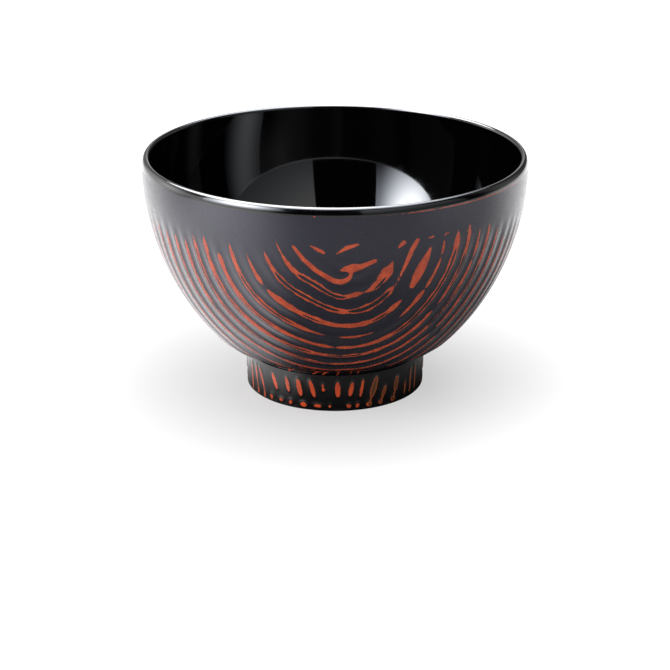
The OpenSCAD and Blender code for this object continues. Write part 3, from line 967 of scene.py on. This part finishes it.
paper, tree, shader = newMaterial("paper")
shader.inputs["Roughness"].default_value = studio["paperRough"]
shader.inputs["Specular IOR Level"].default_value = 0.0
rays = addNode(tree, "ShaderNodeLightPath")
floorX, floorY = split(tree, addNode(tree, "ShaderNodeTexCoord").outputs["Object"])[:2]
fromMiddle = distance(tree, floorX, floorY)
reach = studio["liftSideReach"]
liftNear = mapRange(tree, floorX, -reach, reach, -studio["liftSide"], studio["liftSide"])
liftNear = calc(tree, "ADD", liftNear, studio["lift"])
liftFar = calc(tree, "SUBTRACT", studio["liftFar"], liftNear)
liftFar = calc(tree, "MULTIPLY", liftFar, mapRange(tree, fromMiddle, *studio["liftBetween"]))
forCamera = calc(tree, "MULTIPLY", rays.outputs["Is Camera Ray"], calc(tree, "ADD", liftNear, liftFar))

# the paper in reflections
glossLift = mapRange(tree, floorY, *studio["glossBetween"], studio["glossNear"], studio["glossFar"])
sheenX, sheenY = studio["sheenAt"]
fromSheen = distance(tree, calc(tree, "SUBTRACT", floorX, sheenX), calc(tree, "SUBTRACT", floorY, sheenY))
sheen = mapRange(tree, fromSheen, studio["sheenReach"], 0.0, 0.0, studio["sheen"])
keyX, keyY = studio["keySide"]
towardsKey = calc(tree, "ADD", calc(tree, "MULTIPLY", floorX, keyX), calc(tree, "MULTIPLY", floorY, keyY))
keyShare = mapRange(tree, calc(tree, "DIVIDE", towardsKey, fromMiddle), *studio["keyFan"])
farOut = calc(tree, "MULTIPLY", mapRange(tree, floorY, *studio["farFront"]),
    mapRange(tree, fromMiddle, *studio["farBetween"]))
keyFar = calc(tree, "MULTIPLY", farOut, studio["keyFar"])
keyNear = mapRange(tree, fromMiddle, *studio["keyBetween"], 0.0, studio["keyLift"])
keyLift = calc(tree, "MULTIPLY", keyShare, calc(tree, "ADD", keyNear, keyFar))
offCentre = calc(tree, "DIVIDE", calc(tree, "ABSOLUTE", floorX), fromMiddle)
sideFar = mapRange(tree, offCentre, *studio["sideFan"], 0.0, studio["sideFar"])
keyLift = calc(tree, "ADD", keyLift, calc(tree, "MULTIPLY", farOut, sideFar))
offKey = calc(tree, "SUBTRACT", 1.0, keyShare)
offKey = calc(tree, "MULTIPLY", offKey, mapRange(tree, floorY, *studio["shadeFront"]))
shade = mapRange(tree, fromMiddle, *studio["shadeBetween"], 0.0, 1 - studio["shade"])
shade = calc(tree, "MULTIPLY", calc(tree, "MULTIPLY", offKey, shade), rays.outputs["Is Glossy Ray"])
shadeLeft = calc(tree, "SUBTRACT", 1.0, shade)
colour = mixColour(tree, shadeLeft, (0.0, 0.0, 0.0), (studio["paper"],) * 3)
tree.links.new(colour, shader.inputs["Base Color"])
glossLift = calc(tree, "ADD", calc(tree, "ADD", glossLift, sheen), keyLift)
ringLift = mapRange(tree, fromMiddle, *studio["glossRing"])
glossLift = calc(tree, "MULTIPLY", calc(tree, "MULTIPLY", glossLift, ringLift), shadeLeft)
forGloss = calc(tree, "MULTIPLY", rays.outputs["Is Glossy Ray"], glossLift)
glow = addNode(tree, "ShaderNodeEmission")
tree.links.new(calc(tree, "ADD", forCamera, forGloss), glow.inputs["Strength"])
both = addNode(tree, "ShaderNodeAddShader")
tree.links.new(shader.outputs[0], both.inputs[0])
tree.links.new(glow.outputs[0], both.inputs[1])
tree.links.new(both.outputs[0], tree.nodes["Material Output"].inputs["Surface"])
sheet.data.materials.append(paper)

world = bpy.data.worlds.new("studioWorld")
bpy.context.scene.world = world
world.use_nodes = True
tree = world.node_tree
rays = addNode(tree, "ShaderNodeLightPath")
headX, headY, headZ = split(tree, addNode(tree, "ShaderNodeTexCoord").outputs["Generated"])
offMiddle = calc(tree, "ABSOLUTE", calc(tree, "SUBTRACT", headX, haze["middleX"]))
middle = mapRange(tree, offMiddle, *haze["middleBetween"], haze["plain"], haze["plain"] + haze["middle"])
sides = mapRange(tree, offMiddle, *haze["sidesBetween"], 0.0, haze["sides"])
right = mapRange(tree, headX, *haze["rightBetween"], 1.0, haze["right"])
back = calc(tree, "MULTIPLY", right, mapRange(tree, headY, *haze["backBetween"]))
farSide = calc(tree, "MULTIPLY", calc(tree, "ADD", middle, sides), back)
underKey = mapRange(tree, headX, *haze["keyX"], 0.0, haze["key"])
underKey = calc(tree, "MULTIPLY", underKey, mapRange(tree, headZ, *haze["keyZ"]))
underKey = calc(tree, "MULTIPLY", underKey, mapRange(tree, headY, *haze["keyY"]))
farSide = calc(tree, "ADD", farSide, underKey)
forGloss = calc(tree, "MULTIPLY_ADD", farSide, rays.outputs["Is Glossy Ray"], haze["world"])
whiteBehind = calc(tree, "MAXIMUM", rays.outputs["Is Camera Ray"], forGloss)
tree.links.new(whiteBehind, tree.nodes["Background"].inputs["Strength"])
tree.nodes["Background"].inputs["Color"].default_value = (1, 1, 1, 1)


def addPanel(name, panel, ahead):
    place = math.radians(panel["azimuth"])
    away = panel["distance"]
    spot = Vector((math.sin(place) * away, -math.cos(place) * away, panel["height"]))
    upright = Euler((math.radians(90 - panel["tilt"]), 0, math.radians(panel["turn"]))).to_matrix()
    facing = upright @ Matrix.Rotation(math.radians(panel["roll"]), 3, "Z")
    spot += facing @ Vector((0, 0, -ahead))
    bpy.ops.object.light_add(type="AREA", location=spot, rotation=facing.to_euler())
    lamp = bpy.context.object
    lamp.name = name
    lamp.visible_camera = False
    lamp.data.shape = "RECTANGLE"
    lamp.data.size = panel["wide"]
    lamp.data.size_y = panel["tall"]
    lamp.data.energy = 4 * panel["wide"] * panel["tall"]  # a strength of 1 is then white
    lamp.data.use_nodes = True
    return lamp


for name, panel in panels.items():
    lamp = addPanel(name + "Light", panel, 0)  # lights the surfaces and isn't seen in their gloss
    lamp.visible_glossy = False
    lamp.data.node_tree.nodes["Emission"].inputs["Strength"].default_value = panel["light"]
    lamp = addPanel(name + "Shine", panel, panelGap)  # is seen in the gloss and lights nothing
    lamp.visible_diffuse = False
    tree = lamp.data.node_tree
    across, upward = split(tree, addNode(tree, "ShaderNodeNewGeometry").outputs["Parametric"])[:2]
    leftSide = mapRange(tree, across, 0.0, panel["middle"], panel["left"], 1.0)
    rightSide = mapRange(tree, across, panel["middle"], 1.0, 1.0, panel["right"])
    lowSide = mapRange(tree, upward, 0.0, panel["crown"], panel["low"], 1.0)
    highSide = mapRange(tree, upward, panel["crown"], 1.0, 1.0, panel["high"])
    sideways = calc(tree, "MULTIPLY", leftSide, rightSide)
    level = calc(tree, "MULTIPLY", sideways, calc(tree, "MULTIPLY", lowSide, highSide))
    emission = tree.nodes["Emission"]
    tree.links.new(calc(tree, "MULTIPLY", level, panel["shine"]), emission.inputs["Strength"])
    tree.links.new(mixColour(tree, level, panelTint, (1.0, 1.0, 1.0)), emission.inputs["Color"])

view = {"place": (0, -0.5362, 0.2204), "tilt": 70.914, "lens": 104.46, "sensor": 36, "shift": -0.1029}
bpy.ops.object.camera_add(location=view["place"])
camera = bpy.context.object
camera.name = "photoCamera"
camera.rotation_euler = (math.radians(view["tilt"]), 0, 0)
camera.data.lens = view["lens"]
camera.data.sensor_width = view["sensor"]
camera.data.shift_y = view["shift"]
camera.data.clip_start = 0.01
bpy.context.scene.camera = camera
bpy.context.scene.view_settings.view_transform = "Standard"
print("studio set")
